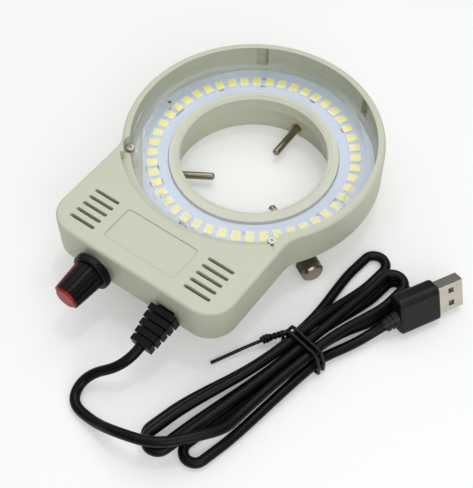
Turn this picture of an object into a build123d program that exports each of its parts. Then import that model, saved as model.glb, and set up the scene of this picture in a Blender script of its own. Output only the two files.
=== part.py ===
"""Ring light for a stereo microscope, lying on its clamp collar with the lamps facing up.

The origin is on the axis of the bore, on the table under the clamp collar. +Z is up, -Y is the
side of the control block with the knob and the cord, +X is the cord's side. Millimetres.
"""

import math
import os

from build123d import *

os.makedirs("parts", exist_ok=True)

# Shared fits
seat_gap = 0.15
running_gap = 0.05
snug_gap = 0.03
overrun = 1.0
pick_tolerance = 0.01
quarter_turn = 90.0

# Housing
recess_radius = 47.1
rim_width = 2.9
block_width_share = 0.8238
block_reach = 25.5
ring_radius = recess_radius + rim_width
block_half_width = recess_radius * block_width_share
block_front = ring_radius + block_reach
front_corner_radius = 11.0
neck_radius = 11.0
housing_bottom = 14.5
housing_height = 16.0
block_wall = 2.2
roof_thickness = 2.0
partition_wall = 2.0
ledge_width = 3.8
ledge_thickness = 2.0
rim_edge_radius = 1.2
housing_top = housing_bottom + housing_height
roof_underside = housing_top - roof_thickness

# Openings in the housing
vent_length = 11.2
vent_width = 1.35
vent_pitch = 3.42
vent_count = 5
vent_side_distance = 13.0
vent_front_distance = 13.45
label_share = 0.406
label_width = 14.3
label_front_distance = 13.6
label_corner_radius = 1.2
label_depth = 0.3
wire_gate_width = 5.0
wire_gate_height = 5.4
vent_centre_x = block_half_width - vent_side_distance
vent_middle_y = vent_front_distance - block_front
label_length = 2 * block_half_width * label_share
label_y = label_front_distance - block_front

# Base plate with the sleeve of the bore
base_thickness = 2.3
ring_width = 18.4
sleeve_wall = 4.2
bore_radius = recess_radius - ring_width
base_top = housing_bottom + base_thickness
sleeve_radius = bore_radius + sleeve_wall

# Lamp board
board_thickness = 1.6
board_inner_gap = 0.4
board_outer_gap = 0.3
board_flat_depth = 0.8
board_flat_angles = (-167.0, 55.0)
board_ear_flat_inset = 3.9
board_hole_radius = 0.8
board_hole_angle = 175.7
board_hole_inset = 2.6
board_top = base_top + board_thickness

# Lamps
lamp_count = 48
lamp_inset = 7.6
lamp_first_angle = 3.75
lamp_length = 4.0
lamp_width = 3.2
lamp_height = 0.8
phosphor_length = 3.3
phosphor_width = 2.6
phosphor_depth = 0.45
lamp_circle_radius = recess_radius - lamp_inset

# Clear cover
cover_thickness = 1.2
lamp_to_cover = 0.7
cover_inner_gap = 0.3
cover_outer_gap = 0.3
cover_flange_width = 3.7
cover_flange_drop = 4.3
cover_bead_width = 1.5
cover_bead_height = 0.8
cover_lip_radius = 0.5
cover_floor = board_top + lamp_height + lamp_to_cover
cover_top = housing_top - cover_flange_drop
cover_flange_bottom = cover_top - cover_thickness
cover_outer_radius = recess_radius - cover_outer_gap
cover_step_radius = cover_outer_radius - cover_flange_width
sleeve_top = cover_floor - seat_gap
opening_radius = recess_radius + ledge_width
ledge_underside = cover_top - ledge_thickness

# Cover screws in their ears
ear_angles = (-140.4, -46.3)
ear_inset = 0.1
ear_pocket_radius = 2.4
ear_wall = 1.2
ear_boss_radius = 2.3
ear_notch_depth = 1.4
ear_notch_half_widths = (1.3, 2.0)
ear_notch_insets = (2.6, 2.2)
ear_notch_drops = (2.4, 8.0)
opening_first_angle = -135.0
cover_ear_radius = 2.1
cover_screw_radius = 0.85
cover_screw_head_radius = 1.65
cover_screw_head_height = 1.0
cover_screw_depth = 6.0
ear_circle = recess_radius - ear_inset
ear_boss_top = cover_flange_bottom - snug_gap

# Snap tabs of the cover
snap_angles = (58.6, 121.4)
snap_pocket_width = 4.8
snap_pocket_depth = 1.5
snap_pocket_above = 3.6
snap_pocket_below = 4.3
snap_tab_width = 4.2
snap_tab_reach = 1.1

# Clamp collar
collar_step = 3.8
collar_wall = 4.5
collar_flange_width = 5.5
collar_flange_thickness = 2.4
collar_edge = 0.6
collar_radius = bore_radius + collar_step
collar_outer_radius = collar_radius + collar_wall
collar_flange_radius = collar_outer_radius + collar_flange_width

# Thumbscrews
thumbscrew_angles = {"thumbscrew_back": 92.0, "thumbscrew_left": 212.0, "thumbscrew_right": 332.0}
thumbscrew_height = 4.5
thumbscrew_radius = 1.5
thumbscrew_reach = 16.9
thumbscrew_tip_round = 1.1
insert_radius = 2.4
neck_distance = 6.3
neck_length = 1.2
neck_width_radius = 2.7
head_radius = 4.3
head_length = 6.6
knurl_length = 4.6
knurl_count = 26
knurl_radius = 0.42
head_chamfer = 0.7
thumbscrew_tip = collar_radius - thumbscrew_reach
neck_start = collar_outer_radius + neck_distance

# Screws of the base plate and of the collar
boss_radius = 2.4
base_screw_radius = 1.1
base_screw_head_radius = 2.1
base_screw_head_height = 1.2
base_screw_length = 7.0
collar_screw_distance = 2.7
collar_screw_angles = (32.0, 152.0, 272.0)
collar_screw_length = 3.4
side_boss_distance = 17.5
front_boss_x = 2.0
back_boss_angles = (-54.5, -125.5)
side_boss_x = block_half_width - block_wall - boss_radius
side_boss_y = side_boss_distance - block_front
collar_screw_circle = collar_outer_radius + collar_screw_distance
front_boss_y = -(block_front - block_wall - boss_radius)
back_boss_circle = recess_radius + partition_wall + boss_radius - overrun

# Dimmer and its knob
knob_share = 0.366
knob_z = 20.4
dimmer_width = 9.5
dimmer_height = 9.5
dimmer_depth = 6.8
dimmer_bottom_drop = 3.0
bushing_radius = 3.4
bushing_length = 6.2
shaft_radius = 3.0
shaft_inner_depth = 3.6
washer_radius = 5.4
washer_thickness = 0.5
nut_flat_radius = 4.4
nut_thickness = 1.9
knob_stand_off = 1.5
knob_flange_radius = 7.7
knob_flange_thickness = 3.2
knob_flange_round = 0.7
knob_base_radius = 6.1
knob_tip_radius = 5.2
knob_length = 15.4
knob_nut_recess_radius = 5.5
knob_nut_recess_depth = 1.6
knob_bushing_recess_radius = 3.8
knob_bushing_recess_depth = 3.4
flute_count = 18
flute_share = 0.085
cap_radius = 4.45
cap_depth = 1.4
cap_crown = 0.9
cap_crown_round = 0.7
shaft_end_wall = 1.5
pointer_angle = 155.0
pointer_width = 2.4
pointer_inner = 4.7
pointer_proud = 0.15
knob_x = -block_half_width * knob_share
panel_inside = block_front - block_wall
knob_back = block_front + knob_stand_off
knob_body_start = knob_back + knob_flange_thickness
knob_end = knob_back + knob_length
shaft_reach = knob_stand_off + knob_length - cap_depth - shaft_end_wall

# Driver board
driver_length = 44.0
driver_width = 12.5
driver_x = 2.0
driver_front_distance = 17.1
standoff_height = 1.6
standoff_radius = 1.9
standoff_inset = 2.6
driver_screw_radius = 0.9
driver_screw_head_radius = 1.7
driver_screw_head_height = 1.1
chip_size = (5.0, 4.0, 1.6)
chip_place = (-0.5, -0.2)
capacitor_radius = 3.1
capacitor_height = 5.4
capacitor_place = (7.6, 0.8)
resistor_size = (1.6, 3.2, 0.6)
resistor_pitch = 2.6
resistor_count = 4
resistor_place = (-10.0, 0.4)
connector_size = (6.0, 4.4, 4.6)
connector_place = (14.5, -1.6)
wire_radius = 0.5
wire_pitch = 2.4
lamp_wire_inset = 2.9
lamp_wire_rise = 4.2
lamp_wire_reach = 7.5
dimmer_wire_reach = 4.2
dimmer_wire_rise = 3.5
supply_wire_rise = 1.5
driver_y = driver_front_distance - block_front
lamp_wire_start = recess_radius - lamp_wire_inset
lamp_wire_land = recess_radius + lamp_wire_reach
dimmer_wire_land = dimmer_wire_reach - driver_y
driver_top = base_top + standoff_height + board_thickness

# Strain relief
boot_share = 0.4465
boot_z = 19.0
boot_tilt = 12.0
boot_neck_width = 6.2
boot_neck_height = 4.0
boot_neck_reach = 1.4
boot_inner_width = 9.0
boot_inner_height = 6.0
boot_inner_rise = 1.0
boot_inner_thickness = 1.8
boot_root_width = 11.2
boot_root_height = 8.0
boot_tip_width = 8.4
boot_tip_height = 6.2
boot_start = 1.0
boot_rib_count = 5
boot_rib_thickness = 2.3
boot_rib_gap = 0.7
boot_core_width = 6.4
boot_core_height = 4.6
boot_rib_round = 0.5
boot_rib_pitch = boot_rib_thickness + boot_rib_gap
boot_x = block_half_width * boot_share
boot_length = boot_start + boot_rib_count * boot_rib_pitch - boot_rib_gap

# Cord, plug and tie: their places are measured from the block's front right corner
cord_radius = 1.9
run_share = 0.45
lead_exit_run = 8.5
lead_points = [
    (-37.6, -30.1, 4.4),
    (-32.8, -42.5, 1.95),
    (-20.8, -43.7, 2.8),
    (-8.8, -43.1, 11.2),
    (4.2, -39.3, 12.2),
    (13.0, -29.1, 11.6),
    (18.6, -20.3, 9.4),
]
lead_joint = (19.9, -6.5, 7.6)
lead_joint_turn = 262.0
lead_last_run = 7.5
tail_joint = (31.6, 31.2, 2.9)
tail_joint_turn = 62.0
tail_first_run = 5.5
tail_last_run = 4.6

# Plug
plug_centre = (41.3, 52.1, 8.1)
plug_turn = 61.8
plug_lean = 20.2
plug_width = 15.4
plug_thickness = 8.0
plug_length = 16.3
plug_corner_radius = 2.6
plug_edge_radius = 1.0
plug_relief_drop = 1.5
plug_relief_droop = 18.0
plug_relief_length = 5.4
plug_relief_core = 2.3
plug_relief_rings = (3.0, 2.85, 2.7)
plug_relief_ring = 1.3
plug_relief_step = 1.75
shell_width = 12.0
shell_thickness = 4.5
shell_wall = 0.35
shell_length = 10.2
shell_hole = 2.2
shell_hole_pitch = 5.8
shell_hole_place = 5.4
tongue_width = 11.2
tongue_thickness = 1.8
tongue_length = 9.2
contact_width = 1.2
contact_pitch = 2.5
contact_thickness = 0.2
contact_length = 7.4
contact_count = 4

# Hank: seven passes through the waist, four below and three above
waist_centre = (21.3, 22.3)
waist_turn = 78.9
waist_step = 4.28
waist_lift = 1.66
layer_step = 4.5
cord_rest = 1.95
fold_radius = 4.1
far_fold_radius = 4.3
near_arm_turn = 255.4
near_folds = [(5.45, 52.75, 0), (-7.4, 58.8, 0), (-4.0, 60.9, 1)]
far_arm_turn = 82.4
far_folds = [(7.4, 43.15, 0), (-5.9, 47.2, 0), (5.92, 42.55, 1)]
lower_passes = 4
upper_middle_pass = 5
lower_middle_pass = 1.5
gap_sample_step = 0.6
gap_skip = 12.0

# Twist tie round the waist
tie_radius = 0.65
tie_spacing = 2.3
tie_corner_radius = 1.6
tie_ring = [(-9.1, 0.75), (9.1, 0.75), (9.1, 5.4), (6.9, 11.05), (-6.9, 11.05), (-9.1, 5.4)]
tie_side = (12.15, 25.0, 4.0)
tie_knot = (7.6, 18.9, 3.4)
tie_end = (-3.4, 0.4, 0.9)
tie_twist_radius = 1.15
tie_knot_radius = 1.6
tie_knot_length = 3.6


def draw_outline(sketch, inset):
    """The plan of the ring and its block, drawn in by an even inset."""
    circle_radius = ring_radius - inset
    half_width = block_half_width - inset
    front = block_front - inset
    Circle(circle_radius)
    with Locations((0, -front / 2)):
        Rectangle(2 * half_width, front)
    neck_y = -math.sqrt(circle_radius**2 - half_width**2)
    fillet(sketch.vertices().group_by(Axis.Y)[0], front_corner_radius - inset)
    necks = sketch.vertices().filter_by(lambda v: abs(v.Y - neck_y) < pick_tolerance)
    fillet(necks, neck_radius + inset)


def radial_plane(angle, radius, height):
    """A plane square to the radius at an angle round the bore, facing outwards."""
    turn = math.radians(angle)
    outward = Vector(math.cos(turn), math.sin(turn), 0)
    along = Vector(-math.sin(turn), math.cos(turn), 0)
    return Plane(origin=outward * radius + Vector(0, 0, height), x_dir=along, z_dir=outward)


def front_plane(distance):
    """A plane facing -Y, a distance in front of the bore's axis."""
    return Plane.XZ.offset(distance)


def polar(radius, angle):
    """A place on a circle round the bore."""
    turn = math.radians(angle)
    return (radius * math.cos(turn), radius * math.sin(turn))


def save(piece, name):
    """Label a finished piece and write it."""
    piece.label = name
    export_step(piece, f"parts/{name}.step")


def from_corner(place):
    """A place measured from the block's front right corner, on the table."""
    return Vector(block_half_width, -block_front, 0) + Vector(*place)


def on_driver(place):
    """A place measured from the middle of the driver board."""
    return (driver_x + place[0], driver_y + place[1])


ear_places = [polar(ear_circle, angle) for angle in ear_angles]
neck_start_y = -math.sqrt(ring_radius**2 - block_half_width**2)
base_screw_places = [(-side_boss_x, side_boss_y), (side_boss_x, side_boss_y), (front_boss_x, front_boss_y)]
base_screw_places += [polar(back_boss_circle, angle) for angle in back_boss_angles]
collar_screw_places = [polar(collar_screw_circle, angle) for angle in collar_screw_angles]
driver_holes = [
    (driver_x + side * (driver_length / 2 - standoff_inset), driver_y) for side in (-1, 1)
]

# The housing is one moulded shell: rim, walls and the roof of the block
with BuildPart() as housing:
    with BuildSketch(Plane.XY.offset(housing_bottom)) as outer:
        draw_outline(outer, 0)
    extrude(amount=housing_height)
    fillet(housing.faces().sort_by(Axis.Z)[-1].edges(), rim_edge_radius)
    with BuildSketch(Plane.XY.offset(housing_bottom)) as rebate:
        draw_outline(rebate, block_wall)
    extrude(amount=base_thickness + snug_gap, mode=Mode.SUBTRACT)
    with BuildSketch(Plane.XY.offset(housing_bottom)) as cavity:
        draw_outline(cavity, block_wall)
        Circle(recess_radius + partition_wall, mode=Mode.SUBTRACT)
    extrude(amount=ledge_underside - housing_bottom, mode=Mode.SUBTRACT)
    with BuildSketch(Plane.XY.offset(ledge_underside)) as upper_cavity:
        draw_outline(upper_cavity, block_wall)
        Circle(opening_radius + partition_wall, mode=Mode.SUBTRACT)
    extrude(amount=roof_underside - ledge_underside, mode=Mode.SUBTRACT)
    for place in ear_places:
        with BuildSketch(Plane.XY.offset(base_top + snug_gap)) as pad:
            draw_outline(pad, 0)
            with Locations(place):
                Circle(ear_pocket_radius + ear_wall, mode=Mode.INTERSECT)
        extrude(amount=housing_top - rim_edge_radius - base_top - snug_gap)
    with BuildSketch(Plane.XY.offset(base_top + snug_gap)):
        with Locations(*base_screw_places):
            Circle(boss_radius)
    extrude(amount=roof_underside - base_top)
    with BuildSketch(Plane.XY.offset(housing_bottom)):
        Circle(recess_radius)
    extrude(amount=housing_height + overrun, mode=Mode.SUBTRACT)
    with BuildSketch(Plane.XY.offset(base_top + snug_gap)):
        with Locations(*ear_places):
            Circle(ear_boss_radius)
    extrude(amount=ear_boss_top - base_top - snug_gap)
    with BuildSketch(Plane.XY.offset(ear_boss_top)):
        with Locations(*ear_places):
            Circle(ear_pocket_radius)
    extrude(amount=housing_height, mode=Mode.SUBTRACT)
    for radius, first_angle in (
        (ear_circle + ear_pocket_radius, ear_angles[0]),
        (opening_radius, opening_first_angle),
    ):
        with BuildSketch(Plane.XY.offset(cover_top)):
            with BuildLine():
                CenterArc((0, 0), radius, first_angle, ear_angles[1] - first_angle)
                Line((0, 0), polar(radius, first_angle))
                Line((0, 0), polar(radius, ear_angles[1]))
            make_face()
        extrude(amount=housing_height, mode=Mode.SUBTRACT)
    with BuildSketch(Plane.XY.offset(ear_boss_top)):
        with Locations(*ear_places):
            Circle(cover_screw_radius + snug_gap)
    extrude(amount=-cover_screw_depth, mode=Mode.SUBTRACT)
    with BuildSketch(Plane.XY.offset(cover_flange_bottom - snap_pocket_below)):
        for angle in snap_angles:
            with PolarLocations(recess_radius + snap_pocket_depth / 2, 1, start_angle=angle):
                Rectangle(snap_pocket_depth * 2, snap_pocket_width)
    extrude(amount=snap_pocket_below + cover_thickness + snap_pocket_above, mode=Mode.SUBTRACT)
    for index, side in enumerate((-1, 1)):
        place = ear_places[index]
        tip = Vector(side * (block_half_width - ear_notch_insets[index]), neck_start_y - ear_notch_drops[index])
        heading = (tip - Vector(*place)).normalized()
        across = heading.rotate(Axis.Z, quarter_turn) * ear_notch_half_widths[index]
        with BuildSketch(Plane.XY.offset(housing_top)):
            with BuildLine():
                Polyline(Vector(*place) + across, tip, Vector(*place) - across, close=True)
            make_face()
        extrude(amount=-ear_notch_depth, mode=Mode.SUBTRACT)
    with BuildSketch(Plane.XY.offset(housing_top)):
        with Locations((0, vent_middle_y)):
            with GridLocations(2 * vent_centre_x, vent_pitch, 2, vent_count):
                SlotOverall(vent_length, vent_width)
    extrude(amount=-(roof_thickness + overrun), mode=Mode.SUBTRACT)
    with BuildSketch(Plane.XY.offset(housing_top)):
        with Locations((0, label_y)):
            RectangleRounded(label_length, label_width, label_corner_radius)
    extrude(amount=-label_depth, mode=Mode.SUBTRACT)
    with BuildSketch(front_plane(block_front)):
        with Locations((knob_x, knob_z)):
            Circle(bushing_radius + seat_gap)
        with Locations((boot_x, boot_z)):
            Rectangle(boot_neck_width + 2 * snug_gap, boot_neck_height + 2 * snug_gap)
    extrude(amount=-(block_wall + overrun), mode=Mode.SUBTRACT)
    with BuildSketch(Plane.XY.offset(board_top)):
        with Locations((0, -(recess_radius + partition_wall / 2))):
            Rectangle(wire_gate_width, 2 * partition_wall)
    extrude(amount=wire_gate_height, mode=Mode.SUBTRACT)
    with BuildSketch(Plane.XY.offset(base_top)):
        with Locations(*base_screw_places):
            Circle(base_screw_radius + snug_gap)
    extrude(amount=base_screw_length, mode=Mode.SUBTRACT)
save(housing.part, "housing")

# The base plate closes the underside and carries the sleeve that lines the bore
with BuildPart() as base_plate:
    with BuildSketch(Plane.XY.offset(housing_bottom)) as plate:
        draw_outline(plate, block_wall + seat_gap)
    extrude(amount=base_thickness)
    with BuildSketch(Plane.XY.offset(housing_bottom)):
        Circle(sleeve_radius)
    extrude(amount=sleeve_top - housing_bottom)
    with BuildSketch(Plane.XY.offset(base_top)):
        with Locations(*driver_holes):
            Circle(standoff_radius)
    extrude(amount=standoff_height)
    with BuildSketch(Plane.XY.offset(housing_bottom)):
        Circle(bore_radius)
    extrude(amount=sleeve_top, mode=Mode.SUBTRACT)
    with BuildSketch(Plane.XY.offset(housing_bottom)):
        with Locations(*base_screw_places):
            Circle(base_screw_radius + seat_gap)
        with Locations(*collar_screw_places):
            Circle(base_screw_radius + snug_gap)
    extrude(amount=base_thickness, mode=Mode.SUBTRACT)
    with BuildSketch(Plane.XY.offset(housing_bottom)):
        with Locations(*base_screw_places):
            Circle(base_screw_head_radius + seat_gap)
    extrude(amount=base_screw_head_height, mode=Mode.SUBTRACT)
    with BuildSketch(Plane.XY.offset(base_top + standoff_height)):
        with Locations(*driver_holes):
            Circle(driver_screw_radius + snug_gap)
    extrude(amount=-(standoff_height + base_thickness / 2), mode=Mode.SUBTRACT)
save(base_plate.part, "base_plate")

# The clamp collar is bolted under the base plate and takes the three thumbscrews
with BuildPart() as clamp_collar:
    with BuildSketch(Plane.XY):
        Circle(collar_outer_radius)
    extrude(amount=housing_bottom)
    with BuildSketch(Plane.XY.offset(housing_bottom)):
        Circle(collar_flange_radius)
    extrude(amount=-collar_flange_thickness)
    with BuildSketch(Plane.XY):
        Circle(collar_radius)
    extrude(amount=housing_bottom, mode=Mode.SUBTRACT)
    chamfer(clamp_collar.faces().sort_by(Axis.Z)[0].edges(), collar_edge)
    for angle in thumbscrew_angles.values():
        with BuildSketch(radial_plane(angle, collar_outer_radius + overrun, thumbscrew_height)):
            Circle(insert_radius)
        extrude(amount=-(collar_wall + 2 * overrun), mode=Mode.SUBTRACT)
    with BuildSketch(Plane.XY.offset(housing_bottom)):
        with Locations(*collar_screw_places):
            Circle(base_screw_radius + seat_gap)
    extrude(amount=-collar_flange_thickness, mode=Mode.SUBTRACT)
save(clamp_collar.part, "clamp_collar")

# Threaded inserts in the collar's wall
with BuildPart() as thumbscrew_inserts:
    for angle in thumbscrew_angles.values():
        with BuildSketch(radial_plane(angle, collar_radius + seat_gap, thumbscrew_height)):
            Circle(insert_radius - snug_gap)
            Circle(thumbscrew_radius + running_gap, mode=Mode.SUBTRACT)
        extrude(amount=collar_wall - 2 * seat_gap)
save(thumbscrew_inserts.part, "thumbscrew_inserts")

# Thumbscrews: a round-nosed thread with a knurled head
for name, angle in thumbscrew_angles.items():
    with BuildPart() as thumbscrew:
        with BuildSketch(radial_plane(angle, thumbscrew_tip, thumbscrew_height)):
            Circle(thumbscrew_radius)
        extrude(amount=neck_start - thumbscrew_tip)
        tip_edge = thumbscrew.edges().filter_by(GeomType.CIRCLE).sort_by(
            lambda edge: edge.center().X * math.cos(math.radians(angle))
            + edge.center().Y * math.sin(math.radians(angle))
        )[0]
        fillet(tip_edge, thumbscrew_tip_round)
        with BuildSketch(radial_plane(angle, neck_start, thumbscrew_height)):
            Circle(neck_width_radius)
        extrude(amount=neck_length)
        with BuildSketch(radial_plane(angle, neck_start + neck_length, thumbscrew_height)):
            Circle(head_radius)
        extrude(amount=head_length)
        end_edge = thumbscrew.edges().filter_by(GeomType.CIRCLE).sort_by(
            lambda edge: edge.center().X * math.cos(math.radians(angle))
            + edge.center().Y * math.sin(math.radians(angle))
        )[-1]
        chamfer(end_edge, head_chamfer)
        with BuildSketch(radial_plane(angle, neck_start + neck_length, thumbscrew_height)):
            with PolarLocations(head_radius, knurl_count):
                Circle(knurl_radius)
        extrude(amount=knurl_length, mode=Mode.SUBTRACT)
    save(thumbscrew.part, name)

# Ring board with its two edge flats, ear notches and one tooling hole
with BuildPart() as led_board:
    with BuildSketch(Plane.XY.offset(base_top)):
        Circle(recess_radius - board_outer_gap)
        Circle(sleeve_radius + board_inner_gap, mode=Mode.SUBTRACT)
        for angle in ear_angles:
            with PolarLocations(recess_radius, 1, start_angle=angle):
                Rectangle(2 * board_ear_flat_inset, 2 * sleeve_radius, mode=Mode.SUBTRACT)
        for angle in board_flat_angles:
            with PolarLocations(recess_radius - board_outer_gap, 1, start_angle=angle):
                Rectangle(2 * board_flat_depth, 2 * sleeve_radius, mode=Mode.SUBTRACT)
        with Locations(polar(recess_radius - board_hole_inset, board_hole_angle)):
            Circle(board_hole_radius, mode=Mode.SUBTRACT)
    extrude(amount=board_thickness)
save(led_board.part, "led_board")

# Lamp bodies, each with a pocket for its phosphor
with BuildPart() as led_frames:
    with BuildSketch(Plane.XY.offset(board_top)):
        with PolarLocations(lamp_circle_radius, lamp_count, start_angle=lamp_first_angle):
            Rectangle(lamp_length, lamp_width)
    extrude(amount=lamp_height)
    with BuildSketch(Plane.XY.offset(board_top + lamp_height)):
        with PolarLocations(lamp_circle_radius, lamp_count, start_angle=lamp_first_angle):
            Rectangle(phosphor_length, phosphor_width)
    extrude(amount=-phosphor_depth, mode=Mode.SUBTRACT)
save(led_frames.part, "led_frames")

with BuildPart() as led_phosphors:
    with BuildSketch(Plane.XY.offset(board_top + lamp_height)):
        with PolarLocations(lamp_circle_radius, lamp_count, start_angle=lamp_first_angle):
            Rectangle(phosphor_length, phosphor_width)
    extrude(amount=-phosphor_depth)
save(led_phosphors.part, "led_phosphors")

# The clear cover is a dish: a flange on the ears, a step down and a floor over the lamps
cover_inner_radius = bore_radius + cover_inner_gap
cover_wall_inside = cover_step_radius - cover_thickness
cover_bead_top = cover_floor + cover_thickness + cover_bead_height
with BuildPart() as clear_cover:
    with BuildSketch(Plane.XZ):
        with BuildLine():
            Polyline(
                (cover_inner_radius, cover_floor),
                (cover_step_radius, cover_floor),
                (cover_step_radius, cover_flange_bottom),
                (cover_outer_radius, cover_flange_bottom),
                (cover_outer_radius, cover_top),
                (cover_wall_inside, cover_top),
                (cover_wall_inside, cover_floor + cover_thickness),
                (cover_inner_radius + cover_bead_width, cover_floor + cover_thickness),
                (cover_inner_radius + cover_bead_width, cover_bead_top),
                (cover_inner_radius, cover_bead_top),
                close=True,
            )
        make_face()
    revolve(axis=Axis.Z)
    with BuildSketch(Plane.XY.offset(cover_flange_bottom)):
        with Locations(*ear_places):
            Circle(cover_ear_radius)
        for angle in snap_angles:
            with PolarLocations(cover_outer_radius, 1, start_angle=angle):
                Rectangle(2 * snap_tab_reach, snap_tab_width)
        Circle(cover_step_radius - cover_thickness / 2, mode=Mode.SUBTRACT)
    extrude(amount=cover_thickness)
    with BuildSketch(Plane.XY.offset(cover_flange_bottom)):
        with Locations(*ear_places):
            Circle(cover_screw_radius + seat_gap)
    extrude(amount=cover_thickness, mode=Mode.SUBTRACT)
    lip_edges = clear_cover.edges().filter_by(GeomType.CIRCLE).filter_by(
        lambda edge: edge.radius < cover_inner_radius + cover_bead_width + pick_tolerance
        and abs(edge.center().Z - cover_bead_top) < pick_tolerance
    )
    fillet(lip_edges, cover_lip_radius)
save(clear_cover.part, "clear_cover")


def pan_screws(places, seat, shaft_radius_here, head_radius_here, head_height, length, upwards):
    """Cross-slotted pan-head screws, with the head above the seat or below it."""
    sign = 1 if upwards else -1
    with BuildPart() as screws:
        with BuildSketch(Plane.XY.offset(seat)):
            with Locations(*places):
                Circle(head_radius_here)
        extrude(amount=sign * head_height)
        if upwards:
            rims = screws.edges().group_by(Axis.Z)[-1]
        else:
            rims = screws.edges().group_by(Axis.Z)[0]
        fillet(rims, head_height / 3)
        with BuildSketch(Plane.XY.offset(seat)):
            with Locations(*places):
                Circle(shaft_radius_here)
        extrude(amount=-sign * length)
        with BuildSketch(Plane.XY.offset(seat + sign * head_height)):
            for place in places:
                with Locations(place):
                    Rectangle(head_radius_here, head_radius_here / 5)
                    Rectangle(head_radius_here / 5, head_radius_here)
        extrude(amount=-sign * head_height / 2, mode=Mode.SUBTRACT)
    return screws.part


cover_screw_length = cover_thickness + cover_screw_depth - seat_gap
save(
    pan_screws(
        ear_places, cover_top + snug_gap, cover_screw_radius, cover_screw_head_radius,
        cover_screw_head_height, cover_screw_length, True,
    ),
    "cover_screws",
)
save(
    pan_screws(
        base_screw_places, housing_bottom + base_screw_head_height, base_screw_radius,
        base_screw_head_radius, base_screw_head_height - seat_gap,
        base_thickness - base_screw_head_height + base_screw_length - seat_gap, False,
    ),
    "base_screws",
)
save(
    pan_screws(
        collar_screw_places, housing_bottom - collar_flange_thickness, base_screw_radius,
        base_screw_head_radius, base_screw_head_height, collar_screw_length, False,
    ),
    "collar_screws",
)

# Dimmer: a body behind the front wall, its bushing, washer and nut, and the turning shaft
with BuildPart() as dimmer_body:
    with BuildSketch(front_plane(panel_inside)):
        with Locations((knob_x, knob_z - dimmer_bottom_drop + dimmer_height / 2)):
            Rectangle(dimmer_width, dimmer_height)
    extrude(amount=-dimmer_depth)
    with BuildSketch(front_plane(panel_inside)):
        with Locations((knob_x, knob_z)):
            Circle(shaft_radius + running_gap)
    extrude(amount=-(shaft_inner_depth + running_gap), mode=Mode.SUBTRACT)
save(dimmer_body.part, "dimmer_body")

with BuildPart() as dimmer_bushing:
    with BuildSketch(front_plane(panel_inside)):
        with Locations((knob_x, knob_z)):
            Circle(bushing_radius)
            Circle(shaft_radius + running_gap, mode=Mode.SUBTRACT)
    extrude(amount=bushing_length)
save(dimmer_bushing.part, "dimmer_bushing")

with BuildPart() as dimmer_washer:
    with BuildSketch(front_plane(block_front)):
        with Locations((knob_x, knob_z)):
            Circle(washer_radius)
            Circle(bushing_radius + running_gap, mode=Mode.SUBTRACT)
    extrude(amount=washer_thickness)
save(dimmer_washer.part, "dimmer_washer")

with BuildPart() as dimmer_nut:
    with BuildSketch(front_plane(block_front + washer_thickness)):
        with Locations((knob_x, knob_z)):
            RegularPolygon(nut_flat_radius, 6, major_radius=False)
            Circle(bushing_radius + running_gap, mode=Mode.SUBTRACT)
    extrude(amount=nut_thickness)
save(dimmer_nut.part, "dimmer_nut")

with BuildPart() as dimmer_shaft:
    with BuildSketch(front_plane(panel_inside - shaft_inner_depth)):
        with Locations((knob_x, knob_z)):
            Circle(shaft_radius)
    extrude(amount=shaft_inner_depth + block_wall + shaft_reach)
save(dimmer_shaft.part, "dimmer_shaft")

# Knob: a flange, a fluted taper, and a red cap whose pointer runs down one side
pointer_turn = math.radians(pointer_angle)
pointer_middle = (pointer_inner + knob_tip_radius) / 2
pointer_run = knob_end - knob_body_start
bridge_place = Location(
    (
        knob_x + pointer_middle / 2 * math.cos(pointer_turn),
        knob_z + pointer_middle / 2 * math.sin(pointer_turn),
    ),
    pointer_angle,
)
pointer_plane = Plane(
    origin=(knob_x, -knob_body_start, knob_z),
    x_dir=(math.cos(pointer_turn), 0, math.sin(pointer_turn)),
    z_dir=(math.sin(pointer_turn), 0, -math.cos(pointer_turn)),
)


def pointer_side(gap):
    """Corners of the pointer's side view, which follows the knob's taper, grown by the gap."""
    return (
        (pointer_inner - gap, snug_gap - gap),
        (knob_base_radius + pointer_proud + gap, snug_gap - gap),
        (knob_tip_radius + pointer_proud + gap, pointer_run + gap),
        (pointer_inner - gap, pointer_run + gap),
    )


with BuildPart() as knob_body:
    with BuildSketch(front_plane(knob_back)):
        with Locations((knob_x, knob_z)):
            Circle(knob_flange_radius)
    extrude(amount=knob_flange_thickness)
    fillet(knob_body.edges().filter_by(GeomType.CIRCLE), knob_flange_round)
    for distance, radius in ((knob_body_start, knob_base_radius), (knob_end, knob_tip_radius)):
        with BuildSketch(front_plane(distance)):
            with Locations((knob_x, knob_z)):
                Circle(radius)
                with PolarLocations(radius, flute_count):
                    Circle(radius * flute_share, mode=Mode.SUBTRACT)
    loft(ruled=True)
    for radius, depth in (
        (knob_nut_recess_radius, knob_nut_recess_depth),
        (knob_bushing_recess_radius, knob_bushing_recess_depth),
        (shaft_radius + snug_gap, block_front + shaft_reach + snug_gap - knob_back),
    ):
        with BuildSketch(front_plane(knob_back)):
            with Locations((knob_x, knob_z)):
                Circle(radius)
        extrude(amount=depth, mode=Mode.SUBTRACT)
    with BuildSketch(front_plane(knob_end)):
        with Locations((knob_x, knob_z)):
            Circle(cap_radius + snug_gap)
        with Locations(bridge_place):
            Rectangle(pointer_middle, pointer_width + 2 * snug_gap)
    extrude(amount=-cap_depth, mode=Mode.SUBTRACT)
    with BuildSketch(pointer_plane):
        with BuildLine():
            Polyline(*pointer_side(snug_gap), close=True)
        make_face()
    extrude(amount=pointer_width / 2 + snug_gap, both=True, mode=Mode.SUBTRACT)
save(knob_body.part, "knob_body")

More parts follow.
